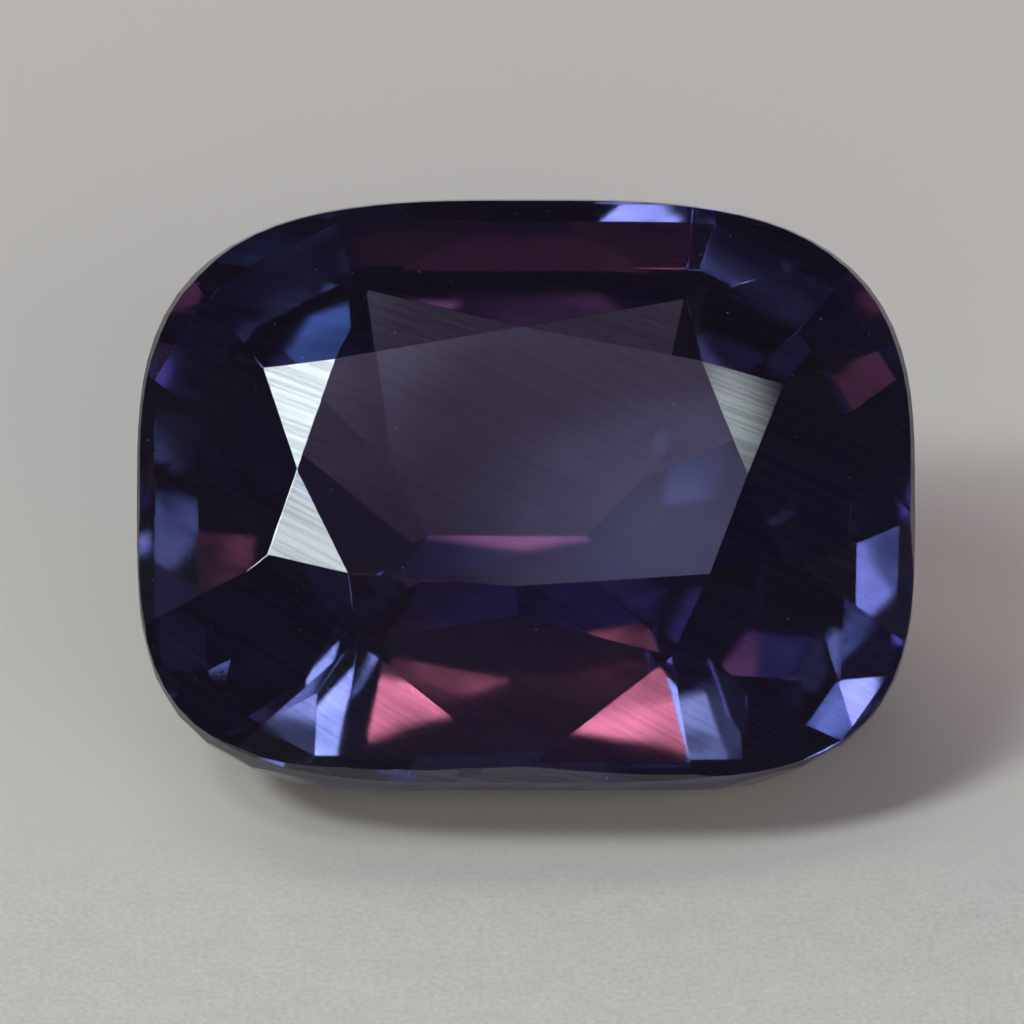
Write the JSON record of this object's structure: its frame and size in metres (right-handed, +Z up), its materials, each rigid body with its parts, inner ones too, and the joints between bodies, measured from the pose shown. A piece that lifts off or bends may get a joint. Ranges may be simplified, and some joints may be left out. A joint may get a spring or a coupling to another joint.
{
  "type": "cushion cut gemstone",
  "caption": "Loose cushion cut alexandrite: a long rounded rectangle with a broad flat table, faceted crown, smooth thin girdle and deep stepped underside, lying on an underside facet.",
  "frame": {"origin": "middle of the stone's footprint, on the surface that it lies on", "axes": "+X to the right along the stone's length, +Y to the back, away from the side that the table faces, +Z up"},
  "size_m": [0.009, 0.0062, 0.0056],
  "materials": {
    "alexandrite_crystal": "polished clear crystal, purple to blue violet with rose flashes"
  },
  "bodies": {
    "root": {"alexandrite": "alexandrite_crystal"}
  },
  "joints": []
}
